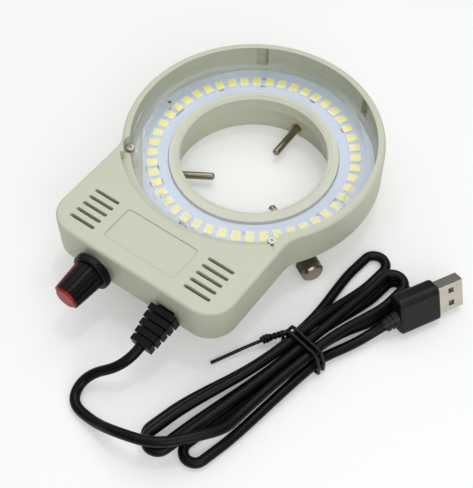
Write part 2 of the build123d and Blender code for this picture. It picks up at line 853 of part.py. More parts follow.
with BuildPart() as knob_cap:
    with BuildSketch(front_plane(knob_end - cap_depth)):
        with Locations((knob_x, knob_z)):
            Circle(cap_radius)
    extrude(amount=cap_depth + cap_crown)
    fillet(knob_cap.edges().filter_by(GeomType.CIRCLE).sort_by(Axis.Y)[0], cap_crown_round)
    with BuildSketch(pointer_plane):
        with BuildLine():
            Polyline(*pointer_side(0), close=True)
        make_face()
    extrude(amount=pointer_width / 2, both=True)
    with BuildSketch(front_plane(knob_end)):
        with Locations(bridge_place):
            Rectangle(pointer_middle, pointer_width)
    extrude(amount=-(cap_depth - snug_gap))
save(knob_cap.part, "knob_cap")

# Driver board, its parts and its two screws
with BuildPart() as driver_board:
    with BuildSketch(Plane.XY.offset(base_top + standoff_height)):
        with Locations((driver_x, driver_y)):
            Rectangle(driver_length, driver_width)
        with Locations(*driver_holes):
            Circle(driver_screw_radius + seat_gap, mode=Mode.SUBTRACT)
    extrude(amount=board_thickness)
save(driver_board.part, "driver_board")

with BuildPart() as driver_parts:
    for place, size in ((chip_place, chip_size), (connector_place, connector_size)):
        with BuildSketch(Plane.XY.offset(driver_top)):
            with Locations(on_driver(place)):
                Rectangle(size[0], size[1])
        extrude(amount=size[2])
    with BuildSketch(Plane.XY.offset(driver_top)):
        with Locations(on_driver(resistor_place)):
            with GridLocations(resistor_pitch, 0, resistor_count, 1):
                Rectangle(resistor_size[0], resistor_size[1])
    extrude(amount=resistor_size[2])
    with BuildSketch(Plane.XY.offset(driver_top)):
        with Locations(on_driver(capacitor_place)):
            Circle(capacitor_radius)
    extrude(amount=capacitor_height)
save(driver_parts.part, "driver_parts")

driver_screw_length = board_thickness + standoff_height + base_thickness / 2 - seat_gap
save(
    pan_screws(
        driver_holes, driver_top, driver_screw_radius, driver_screw_head_radius,
        driver_screw_head_height, driver_screw_length, True,
    ),
    "board_screws",
)


def tube(points, radius, share):
    """A round tube along straight runs and tangent arcs, with its radii and its volume check."""
    runs = [Vector(*b) - Vector(*a) for a, b in zip(points, points[1:])]
    radii = []
    for before, after in zip(runs, runs[1:]):
        half_turn = math.radians(before.get_angle(after)) / 2
        radii.append(share * min(before.length, after.length) / math.tan(half_turn))
    with BuildPart() as piece:
        with BuildLine() as path:
            if radii:
                FilletPolyline(*points, radius=radii)
            else:
                Line(*points)
        with BuildSketch(Plane(origin=path.wire() @ 0, z_dir=path.wire() % 0)):
            Circle(radius)
        sweep()
    volume_share = piece.part.volume / (path.wire().length * math.pi * radius**2)
    return piece.part, path.wire(), radii, volume_share


# Wires inside the housing
with BuildPart() as lamp_wires:
    for side in (-1, 1):
        wire_x = side * wire_pitch / 2
        wire_z = board_top + lamp_wire_rise
        wire, _, _, _ = tube(
            [
                (wire_x, -lamp_wire_start, board_top),
                (wire_x, -lamp_wire_start, wire_z),
                (wire_x, -lamp_wire_land, wire_z),
                (wire_x, -lamp_wire_land, driver_top),
            ],
            wire_radius,
            run_share,
        )
        add(wire)
save(lamp_wires.part, "lamp_wires")

with BuildPart() as dimmer_wires:
    for side in (-1, 0, 1):
        wire_x = knob_x + side * wire_pitch
        wire_z = driver_top + dimmer_wire_rise
        wire, _, _, _ = tube(
            [
                (wire_x, -(panel_inside - dimmer_depth), wire_z),
                (wire_x, -dimmer_wire_land, wire_z),
                (wire_x, -dimmer_wire_land, driver_top),
            ],
            wire_radius,
            run_share,
        )
        add(wire)
save(dimmer_wires.part, "dimmer_wires")

supply_wire_start = panel_inside - boot_inner_thickness
connector_x, connector_y = on_driver(connector_place)
supply_wire_end = -connector_y + connector_size[1] / 2
with BuildPart() as supply_wires:
    with BuildSketch(front_plane(supply_wire_end)):
        for side in (-1, 1):
            with Locations((connector_x + side * wire_pitch / 2, driver_top + supply_wire_rise)):
                Circle(wire_radius)
    extrude(amount=supply_wire_start - supply_wire_end)
save(supply_wires.part, "supply_wires")

# Strain relief: a neck held in the wall and five ribs that droop with the cord
tilt = math.radians(boot_tilt)
boot_out = Vector(0, -math.cos(tilt), -math.sin(tilt))
boot_root = Vector(boot_x, -block_front, boot_z)


def boot_plane(distance):
    """A plane square to the strain relief's own axis."""
    return Plane(origin=boot_root + boot_out * distance, x_dir=(1, 0, 0), z_dir=boot_out)


with BuildPart() as strain_relief:
    with BuildSketch(front_plane(panel_inside - boot_inner_thickness)):
        with Locations((boot_x, boot_z + boot_inner_rise)):
            Rectangle(boot_inner_width, boot_inner_height)
    extrude(amount=boot_inner_thickness)
    with BuildSketch(front_plane(panel_inside - boot_inner_thickness)):
        with Locations((boot_x, boot_z)):
            Rectangle(boot_neck_width, boot_neck_height)
    extrude(amount=boot_inner_thickness + block_wall + boot_neck_reach)
    with BuildSketch(boot_plane(boot_start)):
        Rectangle(boot_core_width, boot_core_height)
    extrude(amount=boot_length - boot_start)
    for rib in range(boot_rib_count):
        rib_share = rib / (boot_rib_count - 1)
        rib_width = boot_root_width + rib_share * (boot_tip_width - boot_root_width)
        rib_height = boot_root_height + rib_share * (boot_tip_height - boot_root_height)
        with BuildSketch(boot_plane(boot_start + rib * boot_rib_pitch)):
            RectangleRounded(rib_width, rib_height, 2 * boot_rib_round)
        extrude(amount=boot_rib_thickness)
save(strain_relief.part, "strain_relief")


def level_direction(angle):
    """A level direction at an angle round +Z."""
    turn = math.radians(angle)
    return Vector(math.cos(turn), math.sin(turn), 0)


def points_along(path, step):
    """Points at even steps along a path."""
    count = int(path.length / step)
    return [path @ (index / count) for index in range(count + 1)]


# Lead
lead_start = boot_root + boot_out * boot_length
lead_end = from_corner(lead_joint)
lead_route = [lead_start, lead_start + boot_out * lead_exit_run]
lead_route += [from_corner(point) for point in lead_points]
lead_route += [lead_end + level_direction(lead_joint_turn) * lead_last_run, lead_end]
lead_solid, lead_line, lead_radii, lead_share = tube([tuple(point) for point in lead_route], cord_radius, run_share)
print("lead: length", round(lead_line.length, 1), "radii", [round(r, 1) for r in lead_radii])
print("lead: volume against section times length", round(lead_share, 4))
save(lead_solid, "cord_lead")

# Hank
waist_axis = level_direction(waist_turn)
waist_side = level_direction(waist_turn - quarter_turn)
near_arm = level_direction(near_arm_turn)
near_side = level_direction(near_arm_turn + quarter_turn)
far_arm = level_direction(far_arm_turn)
far_side = level_direction(far_arm_turn - quarter_turn)
up = Vector(0, 0, 1)
hank_middle = from_corner(waist_centre)


def waist_point(index):
    """Where a pass goes through the waist."""
    if index < lower_passes:
        return hank_middle + waist_side * (lower_middle_pass - index) * waist_step + up * (cord_rest + waist_lift)
    across = (index - upper_middle_pass) * waist_step
    return hank_middle + waist_side * across + up * (cord_rest + waist_lift + layer_step)


def fold_point(folds, index, arm, side, radius, sign):
    """One end of a fold's half circle."""
    across, reach, layer = folds[index]
    level = cord_rest + layer * layer_step
    return hank_middle + arm * reach + side * (across + sign * radius) + up * level


def near_point(index, sign):
    return fold_point(near_folds, index, near_arm, near_side, fold_radius, sign)


def far_point(index, sign):
    return fold_point(far_folds, index, far_arm, far_side, far_fold_radius, sign)


def swerve(start, start_heading, end, end_heading):
    """Two tangent arcs that join a start and an end with their own headings."""
    heading_sum = start_heading + end_heading
    span = end - start
    square = heading_sum.dot(heading_sum) - 4
    slope = -2 * span.dot(heading_sum)
    reach = (-slope - math.sqrt(slope**2 - 4 * square * span.dot(span))) / (2 * square)
    first_corner = start + start_heading * reach
    second_corner = end - end_heading * reach
    middle = (first_corner + second_corner) / 2
    TangentArc(start, middle, tangent=start_heading)
    TangentArc(middle, end, tangent=second_corner - first_corner)


hank_start = from_corner(tail_joint)
hank_in = level_direction(tail_joint_turn) * -1
hank_out = level_direction(lead_joint_turn)
straight_end = 2 * cord_radius
back = near_arm * -1
returning = far_arm * -1
down_waist = waist_axis * -1
with BuildPart() as cord_hank:
    with BuildLine() as hank_line:
        Line(hank_start, hank_start + hank_in * straight_end)
        swerve(hank_start + hank_in * straight_end, hank_in, waist_point(0), down_waist)
        swerve(waist_point(0), down_waist, near_point(0, 1), near_arm)
        TangentArc(near_point(0, 1), near_point(0, -1), tangent=near_arm)
        swerve(near_point(0, -1), back, waist_point(1), waist_axis)
        swerve(waist_point(1), waist_axis, far_point(0, 1), far_arm)
        TangentArc(far_point(0, 1), far_point(0, -1), tangent=far_arm)
        swerve(far_point(0, -1), returning, waist_point(2), down_waist)
        swerve(waist_point(2), down_waist, near_point(1, 1), near_arm)
        TangentArc(near_point(1, 1), near_point(1, -1), tangent=near_arm)
        swerve(near_point(1, -1), back, waist_point(3), waist_axis)
        swerve(waist_point(3), waist_axis, far_point(1, -1), far_arm)
        TangentArc(far_point(1, -1), far_point(1, 1), tangent=far_arm)
        swerve(far_point(1, 1), returning, waist_point(4), down_waist)
        swerve(waist_point(4), down_waist, near_point(2, -1), near_arm)
        TangentArc(near_point(2, -1), near_point(2, 1), tangent=near_arm)
        swerve(near_point(2, 1), back, waist_point(5), waist_axis)
        swerve(waist_point(5), waist_axis, far_point(2, -1), far_arm)
        TangentArc(far_point(2, -1), far_point(2, 1), tangent=far_arm)
        swerve(far_point(2, 1), returning, waist_point(6), down_waist)
        swerve(waist_point(6), down_waist, lead_end - hank_out * straight_end, hank_out)
        Line(lead_end - hank_out * straight_end, lead_end)
    with BuildSketch(Plane(origin=hank_start, z_dir=hank_in)):
        Circle(cord_radius)
    sweep()
save(cord_hank.part, "cord_hank")
hank_points = points_along(hank_line.wire(), gap_sample_step)
hank_skip = int(gap_skip / gap_sample_step)
hank_gap = min(
    (hank_points[a] - hank_points[b]).length
    for a in range(len(hank_points))
    for b in range(a + hank_skip, len(hank_points))
)
print("hank: length", round(hank_line.wire().length, 1), "least gap", round(hank_gap - 2 * cord_radius, 2))
hank_share = cord_hank.part.volume / (hank_line.wire().length * math.pi * cord_radius**2)
print("hank: volume against section times length", round(hank_share, 4))
lead_gap = min(
    (a - b).length
    for a in points_along(lead_line, gap_sample_step)
    for b in hank_points
    if (a - lead_end).length > 2 * straight_end
)
print("lead: least gap to the hank", round(lead_gap - 2 * cord_radius, 2))

# Plug, lying on its narrow side and leaning
plug_axis = level_direction(plug_turn)
plug_level = level_direction(plug_turn - quarter_turn)
lean = math.radians(plug_lean)
plug_up = up * math.cos(lean) - plug_level * math.sin(lean)
plug_back = from_corner(plug_centre)


def plug_plane(distance):
    """A plane square to the plug's axis, with x along its width."""
    return Plane(origin=plug_back + plug_axis * distance, x_dir=plug_up, z_dir=plug_axis)


with BuildPart() as plug_body:
    with BuildSketch(plug_plane(0)):
        RectangleRounded(plug_width, plug_thickness, plug_corner_radius)
    extrude(amount=plug_length)
    plug_ends = plug_body.edges().filter_by(
        lambda edge: abs((edge.center() - plug_back).dot(plug_axis)) < pick_tolerance
        or abs((edge.center() - plug_back).dot(plug_axis) - plug_length) < pick_tolerance
    )
    fillet(plug_ends, plug_edge_radius)
save(plug_body.part, "plug_body")

with BuildPart() as usb_shell:
    with BuildSketch(plug_plane(plug_length)):
        Rectangle(shell_width, shell_thickness)
        Rectangle(shell_width - 2 * shell_wall, shell_thickness - 2 * shell_wall, mode=Mode.SUBTRACT)
    extrude(amount=shell_length)
    hole_plane = Plane(
        origin=plug_back + plug_axis * (plug_length + shell_hole_place),
        x_dir=plug_axis,
        z_dir=plug_axis.cross(plug_up),
    )
    with BuildSketch(hole_plane):
        with GridLocations(0, shell_hole_pitch, 1, 2):
            Rectangle(shell_hole, shell_hole)
    extrude(amount=shell_thickness, both=True, mode=Mode.SUBTRACT)
save(usb_shell.part, "usb_shell")

tongue_offset = -(shell_thickness / 2 - shell_wall - tongue_thickness / 2)
with BuildPart() as usb_tongue:
    with BuildSketch(plug_plane(plug_length)):
        with Locations((0, tongue_offset)):
            Rectangle(tongue_width, tongue_thickness)
    extrude(amount=tongue_length)
save(usb_tongue.part, "usb_tongue")

with BuildPart() as usb_contacts:
    with BuildSketch(plug_plane(plug_length + tongue_length - contact_length)):
        with Locations((0, tongue_offset + tongue_thickness / 2 + contact_thickness / 2)):
            with GridLocations(contact_pitch, 0, contact_count, 1):
                Rectangle(contact_width, contact_thickness)
    extrude(amount=contact_length)
save(usb_contacts.part, "usb_contacts")

# The plug's relief hangs a little below the plug's axis and is cut off flat at the plug's back
droop = math.radians(plug_relief_droop)
relief_axis = plug_axis * math.cos(droop) + up * math.sin(droop)
relief_start = plug_back - plug_up * plug_relief_drop


def relief_plane(distance):
    """A plane square to the relief's axis, behind the plug by the distance."""
    return Plane(origin=relief_start - relief_axis * distance, z_dir=relief_axis)


with BuildPart() as plug_relief:
    with BuildSketch(relief_plane(plug_relief_length)):
        Circle(plug_relief_core)
    extrude(amount=plug_relief_length + plug_relief_core)
    for index, radius in enumerate(plug_relief_rings):
        with BuildSketch(relief_plane(index * plug_relief_step + plug_relief_ring)):
            Circle(radius)
        extrude(amount=plug_relief_ring + (plug_relief_core if index == 0 else 0))
    split(bisect_by=plug_plane(0), keep=Keep.BOTTOM)
save(plug_relief.part, "plug_relief")

# Tail
tail_start = from_corner(tail_joint)
tail_end = relief_start - relief_axis * plug_relief_length
tail_route = [
    tail_start,
    tail_start - hank_in * tail_first_run,
    tail_end - relief_axis * tail_last_run,
    tail_end,
]
tail_solid, tail_line, tail_radii, tail_share = tube([tuple(point) for point in tail_route], cord_radius, run_share)
print("tail: route", [tuple(round(value, 3) for value in point) for point in tail_route])
print("tail: length", round(tail_line.length, 1), "radii", [round(r, 1) for r in tail_radii])
print("tail: volume against section times length", round(tail_share, 4))
tail_gap = min(
    (a - b).length
    for a in points_along(tail_line, gap_sample_step)
    for b in hank_points
    if (a - tail_start).length > 2 * straight_end
)
print("tail: least gap to the hank", round(tail_gap - 2 * cord_radius, 2))
save(tail_solid, "cord_tail")

# Twist tie: two turns round the waist, a twisted stretch, a knot and a loose end
with BuildPart() as twist_tie:
    for side in (-1, 1):
        ring_plane = Plane(
            origin=hank_middle + waist_axis * side * tie_spacing / 2,
            x_dir=waist_side,
            z_dir=waist_axis * -1,
        )
        ring_points = [ring_plane.from_local_coords(point) for point in tie_ring]
        with BuildLine() as ring_line:
            FilletPolyline(*ring_points, radius=tie_corner_radius, close=True)
        ring_path = ring_line.wire()
        with BuildSketch(Plane(origin=ring_path @ 0, z_dir=ring_path % 0)):
            Circle(tie_radius)
        sweep(path=ring_path)
    side_point = from_corner(tie_side)
    knot_point = from_corner(tie_knot)
    end_point = from_corner(tie_end)
    twist_heading = (knot_point - side_point).normalized()
    with BuildSketch(Plane(origin=side_point, z_dir=twist_heading)):
        Circle(tie_twist_radius)
    extrude(amount=(knot_point - side_point).length)
    loose_heading = (end_point - knot_point).normalized()
    with BuildSketch(Plane(origin=knot_point - loose_heading * tie_knot_length / 2, z_dir=loose_heading)):
        Circle(tie_knot_radius)
    extrude(amount=tie_knot_length)
    with BuildSketch(Plane(origin=knot_point, z_dir=loose_heading)):
        Circle(tie_radius)
    extrude(amount=(end_point - knot_point).length)
save(twist_tie.part, "twist_tie")
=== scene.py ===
import math

import bmesh
import bpy
from mathutils import Matrix, Vector


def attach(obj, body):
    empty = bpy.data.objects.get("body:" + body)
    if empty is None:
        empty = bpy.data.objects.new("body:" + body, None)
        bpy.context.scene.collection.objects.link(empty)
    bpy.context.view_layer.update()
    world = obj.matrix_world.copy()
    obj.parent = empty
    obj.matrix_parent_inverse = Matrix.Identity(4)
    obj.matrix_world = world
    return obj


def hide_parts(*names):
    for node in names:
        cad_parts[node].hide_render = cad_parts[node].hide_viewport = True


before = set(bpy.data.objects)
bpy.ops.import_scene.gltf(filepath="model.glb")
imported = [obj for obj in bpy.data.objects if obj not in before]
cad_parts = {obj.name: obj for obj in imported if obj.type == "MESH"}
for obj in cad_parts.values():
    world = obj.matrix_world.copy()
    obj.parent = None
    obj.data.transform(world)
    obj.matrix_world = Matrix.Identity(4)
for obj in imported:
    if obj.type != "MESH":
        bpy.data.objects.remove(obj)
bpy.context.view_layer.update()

# The housing, the base plate and the clamp collar are mouldings in one warm grey-ivory
# plastic with a fine satin grain, screwed together from below. A thin darker line of
# painted shade runs round the border of the shallow label recess on the block's top.
MM = 0.001
PATCH_DETAIL, FINE_DETAIL = 3.0, 2.0
GRAIN_DEPTH = 0.0002
LABEL_MIDDLE, LABEL_HALF, LABEL_CORNER = (0.0, -61.9, 0.0), (15.75, 7.15), 1.2
# The label recess's border gets a thin line of painted shade: its width, the level above which
# it lies, and its strongest share.
LABEL_LINE, LABEL_LEVEL, LABEL_SHADE_DEPTH = 0.3, 29.9, 0.45
ANY_HEIGHT = 1000.0


def new_material(name):
    """An empty node material with its output and one shader."""
    material = bpy.data.materials.new(name)
    material.use_nodes = True
    return material, material.node_tree, material.node_tree.nodes["Principled BSDF"]


def linear(red, green, blue):
    """A colour given in screen values of 0 to 255, as the shader wants it."""
    def channel(value):
        share = value / 255
        return share / 12.92 if share <= 0.04045 else ((share + 0.055) / 1.055) ** 2.4

    return (channel(red), channel(green), channel(blue), 1.0)


# Grain that every moulded, rubber and plated surface here shares: a fine texture in
# the surface, a slow change of tone over the piece, and a roughness that varies with it.
grain = bpy.data.node_groups.new("surface_grain", "ShaderNodeTree")
for label, kind in (
    ("Tone", "NodeSocketColor"),
    ("Other Tone", "NodeSocketColor"),
    ("Patch Scale", "NodeSocketFloat"),
    ("Grain Scale", "NodeSocketFloat"),
    ("Rough Low", "NodeSocketFloat"),
    ("Rough High", "NodeSocketFloat"),
):
    grain.interface.new_socket(label, in_out="INPUT", socket_type=kind)
for label, kind in (
    ("Color", "NodeSocketColor"),
    ("Roughness", "NodeSocketFloat"),
    ("Height", "NodeSocketFloat"),
):
    grain.interface.new_socket(label, in_out="OUTPUT", socket_type=kind)
put_in = grain.nodes.new("NodeGroupInput")
put_out = grain.nodes.new("NodeGroupOutput")
place = grain.nodes.new("ShaderNodeTexCoord")
patches = grain.nodes.new("ShaderNodeTexNoise")
patches.inputs["Detail"].default_value = PATCH_DETAIL
fine = grain.nodes.new("ShaderNodeTexNoise")
fine.inputs["Detail"].default_value = FINE_DETAIL
tone = grain.nodes.new("ShaderNodeMix")
tone.data_type = "RGBA"
rough = grain.nodes.new("ShaderNodeMapRange")
link = grain.links.new
link(place.outputs["Object"], patches.inputs["Vector"])
link(place.outputs["Object"], fine.inputs["Vector"])
link(put_in.outputs["Patch Scale"], patches.inputs["Scale"])
link(put_in.outputs["Grain Scale"], fine.inputs["Scale"])
link(patches.outputs["Fac"], tone.inputs["Factor"])
link(put_in.outputs["Tone"], tone.inputs["A"])
link(put_in.outputs["Other Tone"], tone.inputs["B"])
link(patches.outputs["Fac"], rough.inputs["Value"])
link(put_in.outputs["Rough Low"], rough.inputs["To Min"])
link(put_in.outputs["Rough High"], rough.inputs["To Max"])
link(tone.outputs["Result"], put_out.inputs["Color"])
link(rough.outputs["Result"], put_out.inputs["Roughness"])
link(fine.outputs["Fac"], put_out.inputs["Height"])


def grained(
    name, first, second,
    patch=40.0, fine_scale=2500.0, rough_range=(0.35, 0.5), bump=0.05, metal=0.0, gloss=0.5,
):
    """A surface whose tone, roughness and fine texture come from the shared grain."""
    material, tree, shader = new_material(name)
    group = tree.nodes.new("ShaderNodeGroup")
    group.node_tree = grain
    group.inputs["Tone"].default_value = linear(*first)
    group.inputs["Other Tone"].default_value = linear(*second)
    group.inputs["Patch Scale"].default_value = patch
    group.inputs["Grain Scale"].default_value = fine_scale
    group.inputs["Rough Low"].default_value = rough_range[0]
    group.inputs["Rough High"].default_value = rough_range[1]
    dent = tree.nodes.new("ShaderNodeBump")
    dent.inputs["Strength"].default_value = bump
    dent.inputs["Distance"].default_value = GRAIN_DEPTH
    tree.links.new(group.outputs["Color"], shader.inputs["Base Color"])
    tree.links.new(group.outputs["Roughness"], shader.inputs["Roughness"])
    tree.links.new(group.outputs["Height"], dent.inputs["Height"])
    tree.links.new(dent.outputs["Normal"], shader.inputs["Normal"])
    shader.inputs["Metallic"].default_value = metal
    shader.inputs["Specular IOR Level"].default_value = gloss
    return material


def finish_node(material, *names):
    """CAD pieces keep their shape and take a finish."""
    for name in names:
        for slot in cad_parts[name].material_slots:
            slot.material = material


def math_step(tree, kind, operation, source, value=None):
    """One step of arithmetic on what a socket gives."""
    node = tree.nodes.new(kind)
    node.operation = operation
    tree.links.new(source, node.inputs[0])
    if value is not None:
        node.inputs[1].default_value = value
    return node


ivory = grained(
    "ivory_moulding", (204, 207, 186), (197, 200, 179),
    patch=18, fine_scale=2600, rough_range=(0.4, 0.5), bump=0.1,
)
finish_node(ivory, "housing", "base_plate", "clamp_collar")

# Painted shade: a thin darker line where the distance to the recess's rounded border is small.
tree = ivory.node_tree
shader = tree.nodes["Principled BSDF"]
unshaded_tone = shader.inputs["Base Color"].links[0].from_socket
spot_at = tree.nodes.new("ShaderNodeTexCoord")
height_at = tree.nodes.new("ShaderNodeSeparateXYZ")
tree.links.new(spot_at.outputs["Object"], height_at.inputs[0])
label_straight = (LABEL_HALF[0] - LABEL_CORNER, LABEL_HALF[1] - LABEL_CORNER, ANY_HEIGHT)
border = spot_at.outputs["Object"]
for operation, value in (
    ("SUBTRACT", Vector(LABEL_MIDDLE) * MM),
    ("ABSOLUTE", None),
    ("SUBTRACT", Vector(label_straight) * MM),
    ("MAXIMUM", Vector((0, 0, 0))),
):
    border = math_step(tree, "ShaderNodeVectorMath", operation, border, value).outputs[0]
border = math_step(tree, "ShaderNodeVectorMath", "LENGTH", border).outputs["Value"]
for operation, value in (("SUBTRACT", LABEL_CORNER * MM), ("ABSOLUTE", None)):
    border = math_step(tree, "ShaderNodeMath", operation, border, value).outputs[0]
fade = tree.nodes.new("ShaderNodeMapRange")
fade.inputs["From Max"].default_value = LABEL_LINE * MM
fade.inputs["To Min"].default_value = LABEL_SHADE_DEPTH
fade.inputs["To Max"].default_value = 0.0
tree.links.new(border, fade.inputs["Value"])
on_top = math_step(
    tree, "ShaderNodeMath", "GREATER_THAN", height_at.outputs["Z"], LABEL_LEVEL * MM
)
painted_shade_share = math_step(tree, "ShaderNodeMath", "MULTIPLY", fade.outputs["Result"])
tree.links.new(on_top.outputs[0], painted_shade_share.inputs[1])
# Painted shade: this darker colour along the label recess's border stands in for the shade at
# its edge.
painted_shade_mix = tree.nodes.new("ShaderNodeMix")
painted_shade_mix.data_type = "RGBA"
painted_shade_mix.inputs["B"].default_value = linear(138, 139, 122)
tree.links.new(painted_shade_share.outputs[0], painted_shade_mix.inputs["Factor"])
tree.links.new(unshaded_tone, painted_shade_mix.inputs["A"])
tree.links.new(painted_shade_mix.outputs["Result"], shader.inputs["Base Color"])

# The three thumbscrews are turned metal under worn nickel plate, with knurled heads. Each
# runs in a threaded brass insert in the clamp collar.
nickel = grained(
    "nickel_plate", (168, 160, 144), (132, 124, 108),
    patch=250, fine_scale=1200, rough_range=(0.2, 0.3), bump=0.05, metal=1.0,
)
finish_node(nickel, "thumbscrew_back", "thumbscrew_left", "thumbscrew_right")
brass = grained(
    "insert_brass", (206, 172, 104), (180, 146, 80),
    patch=250, rough_range=(0.25, 0.38), bump=0.04, metal=1.0,
)
finish_node(brass, "thumbscrew_inserts")

# The small screws of the cover, the base plate, the collar and the driver board, and the
# dimmer's bushing, washer, nut and shaft, are metal under a brighter nickel plate.
screw_nickel = grained(
    "screw_nickel", (206, 206, 202), (176, 176, 172),
    patch=400, fine_scale=1600, rough_range=(0.3, 0.42), bump=0.05, metal=1.0,
)
finish_node(
    screw_nickel, "cover_screws", "base_screws", "collar_screws", "board_screws",
    "dimmer_bushing", "dimmer_washer", "dimmer_nut", "dimmer_shaft",
)

# The lamp board is a fibreglass ring under a pale blue-white solder mask. Its lamps are
# white moulded frames filled with a yellow phosphor, in one circle round the bore.
mask = grained(
    "board_mask", (202, 216, 234), (193, 208, 229),
    patch=50, fine_scale=1500, rough_range=(0.3, 0.4), bump=0.04,
)
frame_white = grained(
    "lamp_frame", (252, 252, 246), (246, 246, 238),
    patch=300, rough_range=(0.3, 0.4), bump=0.02,
)
phosphor = grained(
    "lamp_phosphor", (253, 247, 112), (249, 238, 84),
    patch=500, rough_range=(0.35, 0.45), bump=0.05,
)
finish_node(mask, "led_board")
finish_node(frame_white, "led_frames")
finish_node(phosphor, "led_phosphors")

# Each lamp is soldered to the board at its two ends: a dull tin fillet slopes from the
# lamp's body down to the board's face.
LAMP_COUNT, LAMP_CIRCLE, LAMP_FIRST_ANGLE = 48, 39.5, 3.75
LAMP_HALF_LENGTH, BOARD_TOP = 2.0, 18.4
SOLDER_WIDTH, SOLDER_RUN, SOLDER_HIGH, SOLDER_LOW = 2.3, 0.55, 0.34, 0.07
SOLDER_GAP, SOLDER_BEVEL = 0.01, 0.05
solder_mesh = bpy.data.meshes.new("lamp_solder")
solder_form = bmesh.new()
for lamp in range(LAMP_COUNT):
    turn = math.radians(LAMP_FIRST_ANGLE + lamp * 360 / LAMP_COUNT)
    for end in (-1, 1):
        made = bmesh.ops.create_cube(solder_form, size=1.0)["verts"]
        for corner in made:
            outer = corner.co.x * end > 0
            height = 0.0 if corner.co.z < 0 else (SOLDER_LOW if outer else SOLDER_HIGH)
            along = LAMP_HALF_LENGTH + (SOLDER_RUN if outer else SOLDER_GAP)
            spot = (LAMP_CIRCLE + end * along, corner.co.y * SOLDER_WIDTH, BOARD_TOP + height)
            corner.co = Vector(spot) * MM
        top_edges = dict.fromkeys(
            edge
            for corner in made
            for edge in corner.link_edges
            if all(tip.co.z > BOARD_TOP * MM for tip in edge.verts)
        )
        bmesh.ops.bevel(
            solder_form,
            geom=list(top_edges),
            offset=SOLDER_BEVEL * MM,
            offset_type="OFFSET",
            affect="EDGES",
            segments=2,
            profile=0.5,
            material=-1,
        )
    fresh = [corner for corner in solder_form.verts if not corner.tag]
    bmesh.ops.rotate(
        solder_form, verts=fresh, cent=(0, 0, 0), matrix=Matrix.Rotation(turn, 3, "Z")
    )
    for corner in solder_form.verts:
        corner.tag = True
bmesh.ops.recalc_face_normals(solder_form, faces=solder_form.faces)
solder_form.to_mesh(solder_mesh)
solder_form.free()
solder = bpy.data.objects.new("lamp_solder", solder_mesh)
bpy.context.scene.collection.objects.link(solder)
tin = grained(
    "solder_tin", (150, 150, 152), (118, 119, 124),
    patch=600, fine_scale=1500, rough_range=(0.35, 0.55), bump=0.1, metal=0.6,
)
solder_mesh.materials.append(tin)
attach(solder, "light")

# The board's tooling hole is drilled through and looks into the dark of the housing. A
# black plug of painted shade stands in it just below the board's face.
HOLE_CIRCLE, HOLE_TURN = 44.5, 175.7
SHADE_PLUG_RADIUS, SHADE_PLUG_TOP, SHADE_PLUG_HEIGHT = 0.74, 18.25, 1.1
shade_plug_mesh = bpy.data.meshes.new("hole_shade_plug")
shade_plug_form = bmesh.new()
shade_plug_middle = Vector((HOLE_CIRCLE, 0.0, SHADE_PLUG_TOP - SHADE_PLUG_HEIGHT / 2)) * MM
shade_plug_turn = Matrix.Rotation(math.radians(HOLE_TURN), 4, "Z")
bmesh.ops.create_cone(
    shade_plug_form,
    cap_ends=True,
    segments=32,
    radius1=SHADE_PLUG_RADIUS * MM,
    radius2=SHADE_PLUG_RADIUS * MM,
    depth=SHADE_PLUG_HEIGHT * MM,
    matrix=shade_plug_turn @ Matrix.Translation(shade_plug_middle),
)
shade_plug_form.to_mesh(shade_plug_mesh)
shade_plug_form.free()
shade_plug = bpy.data.objects.new("hole_shade_plug", shade_plug_mesh)
bpy.context.scene.collection.objects.link(shade_plug)
# Painted shade: the plug is near black so that the hole reads as dark.
hole_shade_black = grained(
    "hole_shade_black", (16, 18, 22), (22, 24, 28),
    patch=300, rough_range=(0.6, 0.7), bump=0.02,
)
shade_plug_mesh.materials.append(hole_shade_black)
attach(shade_plug, "light")

# The cover is one clear polished moulding. It lies on the housing's ledge over the lamps,
# and two small screws hold it.
clear, tree, shader = new_material("clear_moulding")
for socket, value in (
    ("Base Color", (0.985, 0.99, 0.985, 1.0)),
    ("Alpha", 0.45),
    ("Roughness", 0.02),
    ("IOR", 1.05),
    ("Transmission Weight", 1.0),
    ("Coat Weight", 1.0),
    ("Coat Roughness", 0.04),
    ("Coat IOR", 2.0),
):
    shader.inputs[socket].default_value = value
finish_node(clear, "clear_cover")

# The knob is a fluted black moulding pushed on the dimmer's shaft. A dark red moulded cap
# with a pointer closes its end.
knob_black = grained(
    "knob_black", (9, 9, 10), (14, 14, 14),
    patch=120, fine_scale=2400, rough_range=(0.26, 0.36), bump=0.08, gloss=0.15,
)
knob_red = grained(
    "knob_red", (168, 26, 32), (150, 20, 26),
    patch=120, fine_scale=2400, rough_range=(0.26, 0.36), bump=0.06, gloss=0.25,
)
finish_node(knob_black, "knob_body")
finish_node(knob_red, "knob_cap")

# The driver board lies inside the block under a green solder mask, held by screws. Its
# parts and the dimmer's body are black, and wires in red covers run from it to the lamps
# and the dimmer.
board_green = grained(
    "driver_mask", (34, 92, 50), (26, 76, 40),
    patch=120, rough_range=(0.3, 0.42), bump=0.06,
)
part_black = grained(
    "part_black", (34, 34, 36), (44, 44, 46),
    patch=200, rough_range=(0.4, 0.5), bump=0.06,
)
wire_red = grained(
    "wire_cover", (120, 26, 24), (96, 20, 20),
    patch=200, rough_range=(0.35, 0.45), bump=0.04,
)
finish_node(board_green, "driver_board")
finish_node(part_black, "driver_parts", "dimmer_body")
finish_node(wire_red, "lamp_wires", "dimmer_wires", "supply_wires")

# The strain relief is soft black rubber, moulded over the cord in a row of ribs and held in
# the block's front wall.
boot_rubber = grained(
    "boot_rubber", (8, 8, 9), (13, 13, 14),
    patch=90, fine_scale=2000, rough_range=(0.36, 0.48), bump=0.12, gloss=0.12,
)
finish_node(boot_rubber, "strain_relief")

